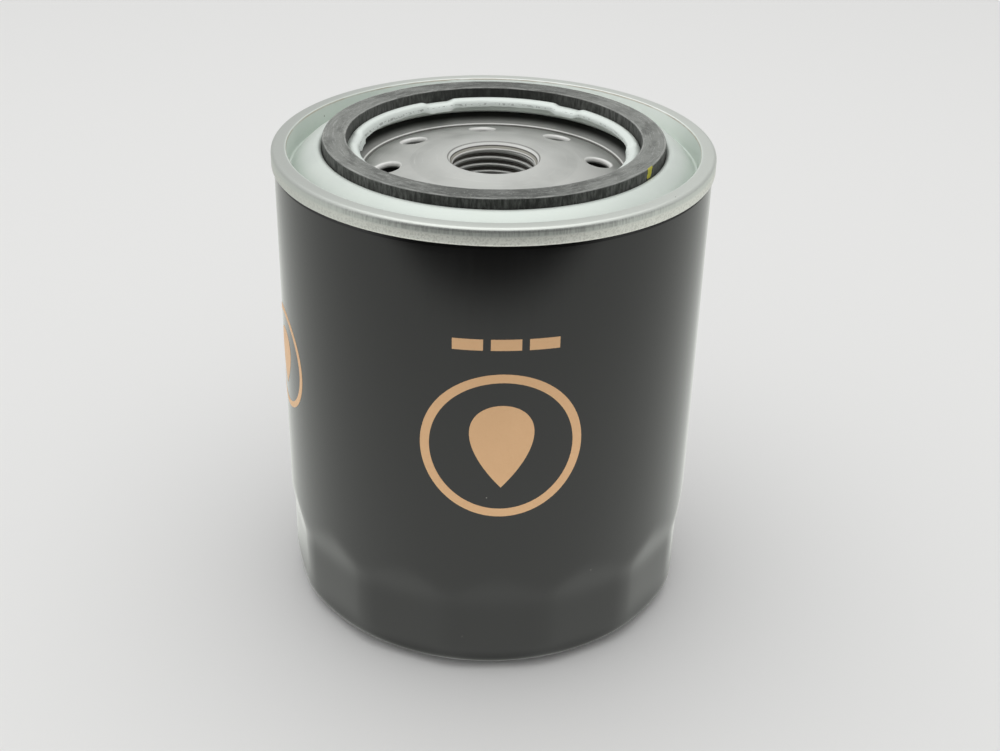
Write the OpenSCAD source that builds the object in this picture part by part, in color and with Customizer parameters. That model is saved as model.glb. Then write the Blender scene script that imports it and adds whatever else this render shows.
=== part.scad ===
// Spin-on engine oil filter: fluted can, seamed lid with a threaded plate and gasket,
// and the valves, springs and pleated element that work inside it.
// The origin is the middle of the base, and +Z runs along the axis to the threaded end.

/* [Can] */
// Outside diameter of the can
can_d = 92; // [88:0.5:98]
// Height from the base to the top of the seam
can_h = 104.8; // [92:0.2:130]
// Thickness of the can's sheet
can_wall = 0.7; // [0.5:0.05:1]
// Radius of the round between the side and the base
base_edge_r = 6.6; // [5:0.1:8]
// Diameter of the raised panel in the middle of the base
base_panel_d = 56; // [50:1:64]
// Height of that panel above the standing ring
base_panel_h = 0.8; // [0.4:0.1:1.2]

/* [Wrench flutes] */
// Number of flutes around the closed end
flute_count = 14; // [12:1:16]
// Height of the flutes' tops above the base
flute_h = 24.5; // [18:0.5:30]
// Height of the slope that leads down into each flute's flat
flute_slope_h = 7; // [4:0.5:9]
// Depth of each flute's flat at its middle
flute_depth = 1.2; // [0.8:0.05:1.4]
// Turn of the first flute's middle from the front, in degrees
flute_turn = 3.75; // [-12:0.25:12]

/* [Seam] */
// How far the seam stands out from the can's side
seam_proud = 0.55; // [0.4:0.05:0.8]
// Height of the seam
seam_h = 3.6; // [3.2:0.1:4.4]
// Clearance between the layers of the seam
seam_clear = 0.1; // [0.05:0.05:0.15]
// Radius of the seam's outer top edge
seam_round = 0.9; // [0.85:0.05:1.2]
// Depth of the can's edge, folded back inside the seam
hook_h = 1.5; // [1:0.1:2]
// Height of the bead of sealing compound on the can's edge
compound_h = 0.5; // [0.3:0.1:0.8]

/* [Lid] */
// Thickness of the lid's sheet
lid_t = 0.75; // [0.6:0.05:0.9]
// Drop from the top of the seam to the lid's shoulder
shoulder_drop = 0.15; // [0:0.05:0.6]
// Radius of the shoulder beside the gasket
shoulder_r = 0.9; // [0.8:0.05:1.2]
// Depth of the channel inside the seam
channel_depth = 4.7; // [4:0.1:5.2]
// Width of the channel's floor
channel_w = 0.5; // [0.3:0.1:1]
// Inward lean of the seam's inner wall, from top to bottom
chuck_lean = 0.3; // [0.2:0.1:0.6]
// Radius of the rolled inner lip
lip_r = 1.5; // [1.3:0.05:1.8]
// Radius of the fold between the lip and the gasket groove
lip_fold_r = 1.3; // [1.1:0.05:1.5]
// How far the lip is rolled past its crest, in degrees
lip_turn = 88; // [55:1:140]

/* [Gasket] */
// Outside diameter of the gasket
gasket_od = 72; // [70:0.5:74]
// Inside diameter of the gasket
gasket_id = 62; // [60:0.5:63]
// Thickness of the gasket
gasket_h = 4.8; // [4.2:0.1:5.2]
// How far the gasket stands above the lid's shoulder
gasket_stand = 1.85; // [1.4:0.05:2.2]
// Clearance on each side of the gasket in its groove
gasket_clear = 0.1; // [0.05:0.05:0.2]

/* [Tapping plate] */
// Thickness of the plate
plate_t = 3; // [2.4:0.1:3.4]
// Clearance between the plate's flange and the lid's channel
plate_clear = 2.6; // [1:0.05:4]
// Diameter of the crease where the dish turns up to the flange
dish_d = 55.4; // [54:0.2:57]
// Depth of the crease below the flange
dish_depth = 2.35; // [2:0.05:2.8]
// Radius of the dish's crown
crown_r = 123; // [110:1:160]
// Lean of the wall between crease and flange, as run over rise
dish_slope = 1.3; // [1.1:0.05:1.5]
// Major diameter of the thread
thread_major_d = 19.05; // [18.6:0.05:19.6]
// Minor diameter of the thread
thread_minor_d = 17.5; // [17:0.05:17.7]
// Pitch of the thread
thread_pitch = 1.5875; // [1.4:0.0125:1.7]
// Length of the threaded neck
neck_l = 11.5; // [10:0.1:13]
// Outside diameter of the neck
neck_d = 24.5; // [23.5:0.1:26]
// Number of inlet holes
inlet_count = 8; // [6:1:10]
// Diameter of an inlet hole
inlet_d = 5.2; // [4.6:0.1:6]
// Diameter of the circle that the inlet holes lie on
inlet_pcd = 45; // [43:0.2:46]
// Turn of the first inlet hole from the front, in degrees
inlet_turn = 7.4; // [-20:0.1:20]

/* [Anti-drain valve] */
// Thickness of the rubber
valve_t = 1.4; // [1:0.1:1.8]
// How far the valve's lip reaches past the inlet holes
valve_reach = 1.5; // [1:0.1:2.2]
// Length of the sleeve around the threaded neck
valve_sleeve_l = 3; // [2.4:0.1:3.6]
// Running clearance around the neck and under the plate
valve_clear = 0.15; // [0.1:0.05:0.3]

/* [Element] */
// Gap between the can and the end caps, for the oil to pass
cap_clear = 3.8; // [2.5:0.1:6]
// Thickness of the end caps' sheet
cap_t = 0.6; // [0.5:0.05:0.8]
// Height of the end caps' rims
cap_rim_h = 4; // [3:0.1:5]
// Drop from the threaded neck's end to the upper cap
cap_drop = 0.9; // [0.5:0.1:1.5]
// Length of the upper cap's turned-in neck
cap_neck_l = 4; // [3:0.1:6]
// Depth of adhesive in each cap
adhesive_h = 2; // [1.5:0.1:3]
// Clearance between the adhesive and what it lies against
adhesive_clear = 0.1; // [0.05:0.05:0.2]
// Clearance between the pleats and the caps' rims
media_clear = 0.9; // [0.6:0.1:1.5]
// Clearance between the pleats and the centre tube
pleat_clear = 0.95; // [0.6:0.05:1.5]
// Number of pleats
pleat_count = 48; // [40:1:52]
// Thickness of the filter paper
paper_t = 0.5; // [0.4:0.05:0.6]
// Width of a fold at the outer tips
fold_outer_w = 1.5; // [1.4:0.05:1.7]
// Width of a fold at the inner valleys
fold_inner_w = 1; // [0.9:0.05:1.1]
// Thickness of the strip that joins the paper's ends
clip_t = 0.35; // [0.3:0.05:0.45]
// Depth of that strip over the fold
clip_depth = 3.2; // [2.6:0.1:4]
// Clearance between the strip and the paper
clip_clear = 0.1; // [0.05:0.05:0.2]
// Outside diameter of the centre tube
tube_d = 34.4; // [33.6:0.1:35]
// Wall of the centre tube
tube_wall = 0.6; // [0.5:0.05:0.7]
// Diameter of the centre tube's holes
tube_hole_d = 4; // [3:0.1:5]
// Rows of holes along the tube
tube_rows = 7; // [5:1:8]
// Holes in a row, around the tube
tube_row_holes = 10; // [8:1:12]

/* [Bypass valve] */
// Diameter of the port in the lower cap
port_d = 15; // [13:0.2:16]
// Width of the rubber seal around the port
bypass_seal_w = 3; // [2.4:0.1:3.2]
// Thickness of the seal
bypass_seal_t = 1; // [0.8:0.1:1.4]
// Gap from the port's edge to the seal
bypass_seal_gap = 0.3; // [0.1:0.1:0.4]
// Thickness of the valve disc
bypass_disc_t = 0.8; // [0.6:0.1:1.2]
// Running clearance between the disc and its cage
bypass_clear = 0.5; // [0.3:0.1:0.7]
// Diameter of the disc's raised centre, which guides the spring
disc_boss_d = 10; // [8:0.5:10.5]
// Height of that raised centre
disc_boss_h = 1.2; // [0.8:0.1:1.6]
// Sheet of the valve's cage
cage_t = 0.6; // [0.5:0.05:0.8]
// Width of a window in the cage
cage_window_w = 10; // [8:0.5:12]
// Height of solid wall left above and below a window
cage_band_h = 3; // [2.4:0.1:4]
// Diameter of the hole in the cage's top
cage_hole_d = 8; // [6:0.5:10]
// Clearance between the cage's foot and the centre tube
cage_clear = 0.3; // [0.2:0.1:0.4]
// Wire of the valve spring
bypass_wire_d = 1; // [0.8:0.1:1.1]
// Diameter of the valve spring, to the middle of the wire
bypass_coil_d = 13; // [12.5:0.5:15]
// Fitted length of the valve spring
bypass_spring_l = 13; // [12:0.5:16]
// Turns of the valve spring
bypass_turns = 5.5; // [4:0.5:5.5]

/* [Element spring] */
// Wire of the spring under the element
element_wire_d = 2; // [1.6:0.1:2.2]
// Diameter of that spring, to the middle of the wire
element_coil_d = 40; // [38:0.5:42]
// Fitted length of that spring
element_spring_l = 12.9; // [11:0.1:16]
// Turns of that spring
element_turns = 3; // [2.5:0.5:3]
// Sheet of the spring's seat
seat_t = 0.6; // [0.5:0.05:0.8]
// Height of the seat's rim around the spring
seat_rim_h = 2.5; // [2:0.1:3.5]
// Clearance between the spring and the seat's rim
seat_clear = 0.4; // [0.3:0.1:0.6]
// Width of the seat's flat ring
seat_w = 6; // [4.5:0.5:7]

/* [Hidden] */

$fn = 96;
arc_steps = 8;
front = -90;
over = 1;

// Can and seam
can_r = can_d / 2;
seam_r = can_r + seam_proud;
seam_w = 2 * lid_t + 2 * can_wall + 3 * seam_clear;
seam_in_r = seam_r - seam_w;
seam_in_round = lid_t + 0.05;
seam_low_z = can_h - seam_h;
can_neck_r = seam_r - lid_t - seam_clear;
can_neck_h = 0.6;
hook_r = can_neck_r - 2 * can_wall - seam_clear;
compound_top_z = can_h - seam_round;
can_top_z = compound_top_z - compound_h;
can_floor_z = base_panel_h + can_wall;
flute_step = 360 / flute_count;

// Lid and gasket
shoulder_z = can_h - shoulder_drop;
gasket_top_z = shoulder_z + gasket_stand;
groove_floor_z = gasket_top_z - gasket_h;
groove_outer_r = gasket_od / 2 + gasket_clear;
groove_inner_r = gasket_id / 2 - gasket_clear;
lip_crest_r = groove_inner_r - lip_fold_r;
lip_end_angle = 90 + lip_turn;
shoulder_end_angle = 60;
channel_z = can_h - channel_depth;
channel_outer_r = seam_in_r - chuck_lean;
channel_inner_r = channel_outer_r - channel_w;

// Tapping plate
flange_top_z = groove_floor_z - lid_t;
flange_r = channel_inner_r - plate_clear;
dish_r = dish_d / 2;
dish_z = flange_top_z - dish_depth;
crown_z = dish_z - sqrt(crown_r * crown_r - dish_r * dish_r);
minor_r = thread_minor_d / 2;
major_r = thread_major_d / 2;
mouth_r = major_r + 0.4;
mouth_z = crown_height(mouth_r, crown_r);
neck_end_z = mouth_z - neck_l;
mouth_chamfer = mouth_r - minor_r;
groove_flat = thread_pitch / 8;
groove_run = (major_r - minor_r) * tan(30);
groove_room = neck_l - 2 * mouth_chamfer - thread_pitch / 2;
groove_count = floor(groove_room / thread_pitch);
groove_first_z = neck_end_z + mouth_chamfer + thread_pitch / 2;

// Element, from the upper cap down
cap_r = can_r - can_wall - cap_clear;
cap_top_z = neck_end_z - cap_drop;
sleeve_r = neck_d / 2 + valve_clear;
cap_hole_r = sleeve_r + valve_t / 3;
valve_lip_r = inlet_pcd / 2 + inlet_d / 2 + valve_reach;
valve_lip_z = crown_height(valve_lip_r, crown_r - plate_t) - valve_clear;
valve_lip_w = 1.5;
seat_bottom_z = can_floor_z + element_spring_l;
cap_bottom_z = seat_bottom_z + seat_t;
element_floor_z = cap_bottom_z + cap_t;
element_ceiling_z = cap_top_z - cap_t;
media_low_z = element_floor_z + adhesive_h;
media_high_z = element_ceiling_z - adhesive_h;
tube_r = tube_d / 2;
media_outer_r = cap_r - cap_t - media_clear;
media_r = media_outer_r - paper_t / 2;
valley_r = tube_r + pleat_clear + paper_t / 2;
pleat_step = 360 / pleat_count;
tube_margin = 9;

// Bypass valve, from the lower cap up
port_r = port_d / 2;
bypass_seal_r = port_r + bypass_seal_gap;
disc_r = bypass_seal_r + bypass_seal_w + 0.2;
disc_z = element_floor_z + bypass_seal_t;
disc_top_z = disc_z + bypass_disc_t;
cage_r = disc_r + bypass_clear + cage_t;
cage_foot_r = tube_r - tube_wall - cage_clear;
cage_top_z = disc_top_z + bypass_spring_l + cage_t;
cage_windows = 4;

// Points of an arc from angle a0 to a1 about c
function arc(c, r, a0, a1, steps = arc_steps) =
  [for (i = [0:steps]) let (a = a0 + (a1 - a0) * i / steps) [c[0] + r * cos(a), c[1] + r * sin(a)]];

// Height of the plate's crown at radius r, for a sphere of radius s
function crown_height(r, s) = crown_z + sqrt(s * s - r * r);

// Points of a bend from a to c that is drawn towards b
function bend(a, b, c, steps = arc_steps) =
  [for (i = [0:steps]) let (t = i / steps) (1 - t) * (1 - t) * a + 2 * t * (1 - t) * b + t * t * c];

function unit(v) = v / norm(v);
function left_normal(a, b) = let (d = unit(b - a)) [-d[1], d[0]];
function reversed(list) = [for (i = [len(list) - 1:-1:0]) list[i]];

// Corner b moved by t to the left of the walk a, b, c
function mitred(a, b, c, t) =
  let (m = left_normal(a, b), n = left_normal(b, c)) b + t * (m + n) / (1 + m * n);

// An open path moved by t to its left
function beside(path, t) =
  let (last = len(path) - 1)
  [for (i = [0:last])
    i == 0 ? path[0] + t * left_normal(path[0], path[1]) :
    i == last ? path[last] + t * left_normal(path[last - 1], path[last]) :
    mitred(path[i - 1], path[i], path[i + 1], t)];

// A closed path moved by t to its left
function beside_loop(path, t) =
  let (n = len(path))
  [for (i = [0:n - 1]) mitred(path[(i + n - 1) % n], path[i], path[(i + 1) % n], t)];

// A turned sheet whose one face follows path, with its thickness t to the left
module turned_sheet(path, t) {
  rotate_extrude() polygon(concat(path, reversed(beside(path, t))));
}

module ring(r_in, r_out, z_low, z_high) {
  translate([0, 0, z_low])
    rotate_extrude()
      translate([r_in, 0])
        square([r_out - r_in, z_high - z_low]);
}

// Rise of a spring's wire at a share s of its turns, level near both ends
spring_level_turns = 0.3;
function spring_rise(s, turns) =
  let (level = spring_level_turns / turns)
  min(1, max(0, (s - level) / (1 - 2 * level)));

spring_curl_rings = 8;
spring_sides = 6;

function spring_path(coil_r, wire_r, z_low, length, turns) =
  let (rings = turns * spring_curl_rings)
  [for (i = [0:rings])
    let (s = i / rings, a = 360 * turns * s)
    [coil_r * cos(a), coil_r * sin(a), z_low + wire_r + (length - 2 * wire_r) * spring_rise(s, turns)]];

// Least room between turns that lie one above the other
function spring_gap(path, wire_r) =
  let (last = len(path) - 1)
  min([for (i = [0:last - spring_curl_rings]) path[i + spring_curl_rings][2] - path[i][2]]) - 2 * wire_r;

// A round wire swept along a spring's path as one closed tube
module spring_wire(path, wire_r) {
  rings = len(path);
  sides = spring_sides;
  points = [for (p = path)
    let (out = unit([p[0], p[1], 0]))
    for (k = [0:sides - 1])
      p + wire_r * (cos(360 * k / sides) * out + sin(360 * k / sides) * [0, 0, 1])];
  walls = [for (i = [0:rings - 2], k = [0:sides - 1])
    let (a = i * sides + k, b = i * sides + (k + 1) % sides)
    each [[a, a + sides, b], [b, a + sides, b + sides]]];
  start = [for (k = [1:sides - 2]) [0, k, k + 1]];
  tail = (rings - 1) * sides;
  end = [for (k = [1:sides - 2]) [tail, tail + k + 1, tail + k]];
  polyhedron(points, concat(walls, start, end), convexity = 10);
}

// Outer face of the can, from the axis to the edge inside the seam
can_path = concat(
  [[0, base_panel_h], [base_panel_d / 2 - base_panel_h, base_panel_h], [base_panel_d / 2, 0]],
  arc([can_r - base_edge_r, base_edge_r], base_edge_r, -90, 0),
  [
    [can_r, seam_low_z - seam_clear - can_neck_h],
    [can_neck_r, seam_low_z - seam_clear],
    [can_neck_r, can_top_z]
  ]
);

// Side view of what a flute takes off the can
flute_flat_r = can_r - flute_depth;
flute_path = [
  [can_r, flute_h],
  [flute_flat_r, flute_h - flute_slope_h],
  [flute_flat_r, -over],
  [2 * can_r, -over],
  [2 * can_r, flute_h]
];

// A solid of the can's outline, moved in by inset, with the flutes taken off
module can_form(inset, top_z) {
  path = beside(can_path, inset);
  edge = path[len(path) - 1];
  difference() {
    rotate_extrude() polygon(concat(path, [[edge[0], top_z], [0, top_z]]));
    for (i = [0:flute_count - 1])
      rotate([0, 0, front + flute_turn + i * flute_step])
        translate([-inset, 0, 0])
          rotate([90, 0, 0])
            linear_extrude(height = can_r, center = true)
              polygon(flute_path);
  }
}

module can() {
  color([0.12, 0.12, 0.125])
    union() {
      difference() {
        can_form(0, can_top_z);
        can_form(can_wall, can_top_z + over);
      }
      ring(hook_r, can_neck_r - can_wall / 2, can_top_z - can_wall, can_top_z);
      ring(hook_r, hook_r + can_wall, can_top_z - hook_h, can_top_z);
    }
}

// Where the lid's slope leaves the shoulder, and the point that it bends towards on its way to the channel
shoulder_end = [
  groove_outer_r + shoulder_r * (1 + cos(shoulder_end_angle)),
  shoulder_z - shoulder_r * (1 - sin(shoulder_end_angle))
];
shoulder_lean = (channel_inner_r - shoulder_end[0]) * 0.55;
slope_pull = shoulder_end + shoulder_lean * [1, -1 / tan(shoulder_end_angle)];

// Outside of the lid's sheet, from the rolled lip out to the seam's lower edge
lid_path = concat(
  arc([lip_crest_r, shoulder_z - lip_r], lip_r, lip_end_angle, 90, 2 * arc_steps),
  arc([lip_crest_r, shoulder_z - lip_fold_r], lip_fold_r, 90 - 90 / arc_steps, 0),
  [[groove_inner_r, groove_floor_z], [groove_outer_r, groove_floor_z]],
  arc([groove_outer_r + shoulder_r, shoulder_z - shoulder_r], shoulder_r, 180, shoulder_end_angle + 10),
  bend(shoulder_end, slope_pull, [channel_inner_r, channel_z]),
  [[channel_outer_r, channel_z]],
  arc([seam_in_r + seam_in_round, can_h - seam_in_round], seam_in_round, 180, 90),
  arc([seam_r - seam_round, can_h - seam_round], seam_round, 90, 0),
  [[seam_r, seam_low_z]]
);

module seaming_lid() {
  color([0.78, 0.82, 0.79])
    turned_sheet(lid_path, -lid_t);
}

module seam_compound() {
  color([0.62, 0.5, 0.33])
    ring(hook_r, can_neck_r, can_top_z, compound_top_z);
}

// Upper face of the tapping plate, from inside the bore out to the flange
plate_start_r = minor_r / 2;
plate_path = concat(
  arc([0, crown_z], crown_r, 90 - asin(plate_start_r / crown_r), 90 - asin(dish_r / crown_r)),
  [[dish_r + dish_depth * dish_slope, flange_top_z], [flange_r, flange_top_z]]
);

// The threaded bore, with each turn of the thread drawn as a closed groove
module thread_bore() {
  translate([0, 0, neck_end_z - over])
    cylinder(r = minor_r, h = neck_l + 2 * over);
  translate([0, 0, mouth_z - mouth_chamfer])
    cylinder(r1 = minor_r, r2 = mouth_r + over, h = mouth_chamfer + over);
  translate([0, 0, neck_end_z - over])
    cylinder(r1 = mouth_r + over, r2 = minor_r, h = mouth_chamfer + over);
  for (i = [0:groove_count - 1])
    translate([0, 0, groove_first_z + i * thread_pitch])
      rotate_extrude()
        polygon([
          [minor_r - over, 0],
          [minor_r, 0],
          [major_r, groove_run],
          [major_r, groove_run + groove_flat],
          [minor_r, 2 * groove_run + groove_flat],
          [minor_r - over, 2 * groove_run + groove_flat]
        ]);
}

module tapping_plate() {
  color([0.6, 0.61, 0.6])
    difference() {
      union() {
        turned_sheet(plate_path, -plate_t);
        translate([0, 0, neck_end_z])
          cylinder(d = neck_d, h = mouth_z - plate_t / 2 - neck_end_z);
      }
      thread_bore();
      for (i = [0:inlet_count - 1])
        rotate([0, 0, front + inlet_turn + i * 360 / inlet_count])
          translate([inlet_pcd / 2, 0, dish_z - 2 * plate_t])
            cylinder(d = inlet_d, h = 4 * plate_t);
    }
}

module sealing_gasket() {
  color([0.13, 0.13, 0.13])
    ring(gasket_id / 2, gasket_od / 2, groove_floor_z, gasket_top_z);
}

module anti_drain_valve() {
  color([0.1, 0.1, 0.1])
    turned_sheet([
      [sleeve_r, cap_top_z],
      [sleeve_r, cap_top_z + valve_sleeve_l],
      [valve_lip_r - valve_lip_w, valve_lip_z],
      [valve_lip_r, valve_lip_z]
    ], -valve_t);
}

module upper_end_cap() {
  color([0.72, 0.72, 0.7])
    turned_sheet([
      [cap_hole_r, cap_top_z - cap_neck_l],
      [cap_hole_r, cap_top_z],
      [cap_r, cap_top_z],
      [cap_r, cap_top_z - cap_rim_h]
    ], -cap_t);
}

module adhesive(z_low) {
  color([0.75, 0.6, 0.42])
    ring(tube_r + adhesive_clear, cap_r - cap_t - adhesive_clear, z_low, z_low + adhesive_h);
}

module upper_adhesive() {
  adhesive(media_high_z);
}

module lower_adhesive() {
  adhesive(element_floor_z);
}

// Point at radius r, a distance w to the left of the ray at angle a
function beside_ray(r, a, w) = let (t = a + asin(w / r)) [r * cos(t), r * sin(t)];

// Middle line of the folded paper, once around
media_loop = [for (i = [0:pleat_count - 1])
  let (a = front + i * pleat_step, b = a + pleat_step / 2)
  each [
    beside_ray(media_r, a, -fold_outer_w / 2),
    beside_ray(media_r, a, fold_outer_w / 2),
    beside_ray(valley_r, b, -fold_inner_w / 2),
    beside_ray(valley_r, b, fold_inner_w / 2)
  ]];

module pleated_media() {
  color([0.86, 0.78, 0.6])
    translate([0, 0, media_low_z])
      linear_extrude(media_high_z - media_low_z)
        difference() {
          polygon(beside_loop(media_loop, -paper_t / 2));
          polygon(beside_loop(media_loop, paper_t / 2));
        }
}

// Strip folded over the outer tip of the first pleat
module media_seam_clip() {
  inner_w = fold_outer_w + paper_t + 2 * clip_clear + clip_depth * 2 * sin(pleat_step / 4);
  tip_r = media_outer_r + clip_clear;
  color([0.66, 0.66, 0.64])
    rotate([0, 0, front])
      translate([0, 0, media_low_z])
        linear_extrude(media_high_z - media_low_z)
          difference() {
            translate([tip_r - clip_depth, -inner_w / 2 - clip_t])
              square([clip_depth + clip_t, inner_w + 2 * clip_t]);
            translate([tip_r - clip_depth - over, -inner_w / 2])
              square([clip_depth + over, inner_w]);
          }
}

module centre_tube() {
  low_z = element_floor_z + tube_margin;
  row_step = (element_ceiling_z - element_floor_z - 2 * tube_margin) / (tube_rows - 1);
  hole_step = 360 / tube_row_holes;
  color([0.7, 0.71, 0.7])
    difference() {
      ring(tube_r - tube_wall, tube_r, element_floor_z, element_ceiling_z);
      for (row = [0:tube_rows - 1], i = [0:tube_row_holes - 1])
        rotate([0, 0, front + (i + (row % 2) / 2) * hole_step])
          translate([tube_r / 2, 0, low_z + row * row_step])
            rotate([0, 90, 0])
              cylinder(d = tube_hole_d, h = tube_r);
    }
}

module lower_end_cap() {
  color([0.72, 0.72, 0.7])
    turned_sheet([
      [port_r, cap_bottom_z],
      [cap_r, cap_bottom_z],
      [cap_r, cap_bottom_z + cap_rim_h]
    ], cap_t);
}

module bypass_seal() {
  color([0.15, 0.12, 0.11])
    ring(bypass_seal_r, bypass_seal_r + bypass_seal_w, element_floor_z, disc_z);
}

module bypass_disc() {
  color([0.66, 0.66, 0.64])
    union() {
      translate([0, 0, disc_z])
        cylinder(r = disc_r, h = bypass_disc_t);
      translate([0, 0, disc_z])
        cylinder(d = disc_boss_d, h = bypass_disc_t + disc_boss_h);
    }
}

bypass_path = spring_path(
  bypass_coil_d / 2, bypass_wire_d / 2, disc_top_z, bypass_spring_l, bypass_turns);
element_path = spring_path(
  element_coil_d / 2, element_wire_d / 2, can_floor_z, element_spring_l, element_turns);
echo(bypass_spring_gap = spring_gap(bypass_path, bypass_wire_d / 2));
echo(element_spring_gap = spring_gap(element_path, element_wire_d / 2));

module bypass_spring() {
  color([0.5, 0.5, 0.52])
    spring_wire(bypass_path, bypass_wire_d / 2);
}

module bypass_cage() {
  low_z = element_floor_z + cage_t + cage_band_h;
  color([0.68, 0.68, 0.66])
    difference() {
      turned_sheet([
        [cage_foot_r, element_floor_z + cage_t],
        [cage_r, element_floor_z + cage_t],
        [cage_r, cage_top_z],
        [cage_hole_d / 2, cage_top_z]
      ], cage_t);
      for (i = [0:cage_windows - 1])
        rotate([0, 0, i * 360 / cage_windows])
          translate([cage_r / 2, -cage_window_w / 2, low_z])
            cube([cage_r, cage_window_w, cage_top_z - cage_t - cage_band_h - low_z]);
    }
}

module spring_seat() {
  rim_r = element_coil_d / 2 + element_wire_d / 2 + seat_clear + seat_t;
  color([0.6, 0.6, 0.6])
    turned_sheet([
      [rim_r - seat_w, cap_bottom_z],
      [rim_r, cap_bottom_z],
      [rim_r, cap_bottom_z - seat_rim_h]
    ], -seat_t);
}

module element_spring() {
  color([0.45, 0.45, 0.47])
    spring_wire(element_path, element_wire_d / 2);
}

can();
seaming_lid();
seam_compound();
tapping_plate();
sealing_gasket();
anti_drain_valve();
upper_end_cap();
upper_adhesive();
pleated_media();
media_seam_clip();
centre_tube();
lower_adhesive();
lower_end_cap();
bypass_seal();
bypass_disc();
bypass_spring();
bypass_cage();
spring_seat();
element_spring();
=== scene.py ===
"""Looks of a spin-on oil filter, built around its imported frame. Sizes are in millimetres unless said."""

import math

import bmesh
import bpy
from mathutils import Matrix, Vector


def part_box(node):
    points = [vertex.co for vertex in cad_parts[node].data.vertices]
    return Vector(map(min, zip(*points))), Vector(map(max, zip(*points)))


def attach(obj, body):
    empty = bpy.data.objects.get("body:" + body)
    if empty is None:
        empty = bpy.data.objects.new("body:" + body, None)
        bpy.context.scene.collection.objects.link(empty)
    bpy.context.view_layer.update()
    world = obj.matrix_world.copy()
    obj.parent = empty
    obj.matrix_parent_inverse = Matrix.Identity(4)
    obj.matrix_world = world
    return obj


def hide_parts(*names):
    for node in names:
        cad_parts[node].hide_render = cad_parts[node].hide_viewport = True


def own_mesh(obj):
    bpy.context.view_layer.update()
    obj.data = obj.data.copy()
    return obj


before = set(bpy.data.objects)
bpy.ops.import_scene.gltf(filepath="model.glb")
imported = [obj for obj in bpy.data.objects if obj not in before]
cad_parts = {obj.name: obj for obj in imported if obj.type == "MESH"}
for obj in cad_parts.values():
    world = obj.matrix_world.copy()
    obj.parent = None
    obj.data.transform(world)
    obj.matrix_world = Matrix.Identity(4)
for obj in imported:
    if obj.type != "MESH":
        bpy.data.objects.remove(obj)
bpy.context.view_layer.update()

MM = 0.001
FRONT = math.radians(-90)


def node_box(name):
    """Lowest and highest corner of a CAD node, in millimetres."""
    low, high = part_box(name)
    return low / MM, high / MM


# Sizes that the frame gives
CAN_HIGH = node_box("can")[1]
LID_HIGH = node_box("seaming_lid")[1]
GASKET_LOW, GASKET_HIGH = node_box("sealing_gasket")
PLATE_LOW, PLATE_HIGH = node_box("tapping_plate")
VALVE_LOW, VALVE_HIGH = node_box("anti_drain_valve")
BYPASS_LOW, BYPASS_HIGH = node_box("bypass_spring")
SPRING_LOW, SPRING_HIGH = node_box("element_spring")
SEAM_R = LID_HIGH.x
SEAM_TOP = LID_HIGH.z
GASKET_R = GASKET_HIGH.x
GASKET_TOP = GASKET_HIGH.z
GROOVE_FLOOR = GASKET_LOW.z

# Can and flutes
CAN_R = 46.0
CAN_WALL = 0.7
BASE_EDGE_R = 6.6
BASE_PANEL_R = 28.0
BASE_PANEL_H = 0.8
FLUTE_COUNT = 14
FLUTE_H = 26.5
FLUTE_SLOPE_H = 10.5
FLUTE_DEPTH = 1.15
FLUTE_TURN = math.radians(3.75)
FLUTE_SOFT = 1.2

# Lid and seam
LID_T = 0.75
SEAM_CLEAR = 0.1
SEAM_H = 3.6
SEAM_W = 2 * LID_T + 2 * CAN_WALL + 3 * SEAM_CLEAR
SEAM_IN_R = SEAM_R - SEAM_W
SEAM_ROUND = 0.9
SEAM_LOW = SEAM_TOP - SEAM_H
SHOULDER_Z = SEAM_TOP - 0.15
SHOULDER_R = 0.9
CHANNEL_Z = SEAM_TOP - 4.7
CHANNEL_OUTER_R = SEAM_IN_R - 0.3
CHANNEL_W = 0.5
GASKET_CLEAR = 0.1
GASKET_WIDTH = 5.0
GASKET_EDGE = 0.35
GASKET_SIDE_R = GASKET_R - 0.05
GROOVE_OUTER_R = GASKET_R + GASKET_CLEAR
GROOVE_INNER_R = GASKET_R - GASKET_WIDTH - GASKET_CLEAR
LIP_R = 1.5
LIP_FOLD_R = 1.3
LIP_TURN = 88
LIP_DROP = 0.15
LIP_TILT = 0.3
LIP_CREST_R = GROOVE_INNER_R - LIP_FOLD_R
RAGGED_W = 0.6
CRIMP_COUNT = 6
CRIMP_TURN = math.radians(-33.7)
CRIMP_HALF = math.radians(8.0)
CRIMP_FADE = math.radians(3.6)
CRIMP_DROP = 0.5
CRIMP_SPREAD = 0.22

# Tapping plate
PLATE_T = 3.0
PLATE_R = PLATE_HIGH.x
FLANGE_TOP = GROOVE_FLOOR - LID_T
DISH_R = 27.7
DISH_DEPTH = 2.35
DISH_Z = FLANGE_TOP - DISH_DEPTH
DISH_RUN = DISH_DEPTH * 1.3
STEP_R = DISH_R + 0.3
STEP_Z = DISH_Z + 0.3
CROWN_R = 123.0
CROWN_Z = DISH_Z - math.sqrt(CROWN_R ** 2 - DISH_R ** 2)
NECK_R = 12.25
NECK_END = PLATE_LOW.z
MINOR_R = 8.75
MAJOR_R = 9.525
MOUTH_R = 9.75
MOUTH_SLOPE = 1.5
MOUTH_CUT = 0.5
PITCH = 1.5875
THREAD_LIFT = 0.55
THREAD_START = (1.5, 2.1)
INLET_COUNT = 8
INLET_R = 2.6
INLET_CIRCLE_R = 22.5
INLET_TURN = math.radians(7.4)
INLET_ROUND = 0.7

# Anti-drain valve and springs
VALVE_T = 1.4
VALVE_SLEEVE_R = NECK_R + 0.15
VALVE_SLEEVE_L = 3.0
VALVE_LIP_R = 26.6
VALVE_LIP_W = 1.5
BYPASS_COIL_R = 6.5
BYPASS_WIRE_R = 0.5
BYPASS_TURNS = 5.5
ELEMENT_COIL_R = 20.0
ELEMENT_WIRE_R = 1.0
ELEMENT_TURNS = 3
LEVEL_TURNS = 0.3

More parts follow.
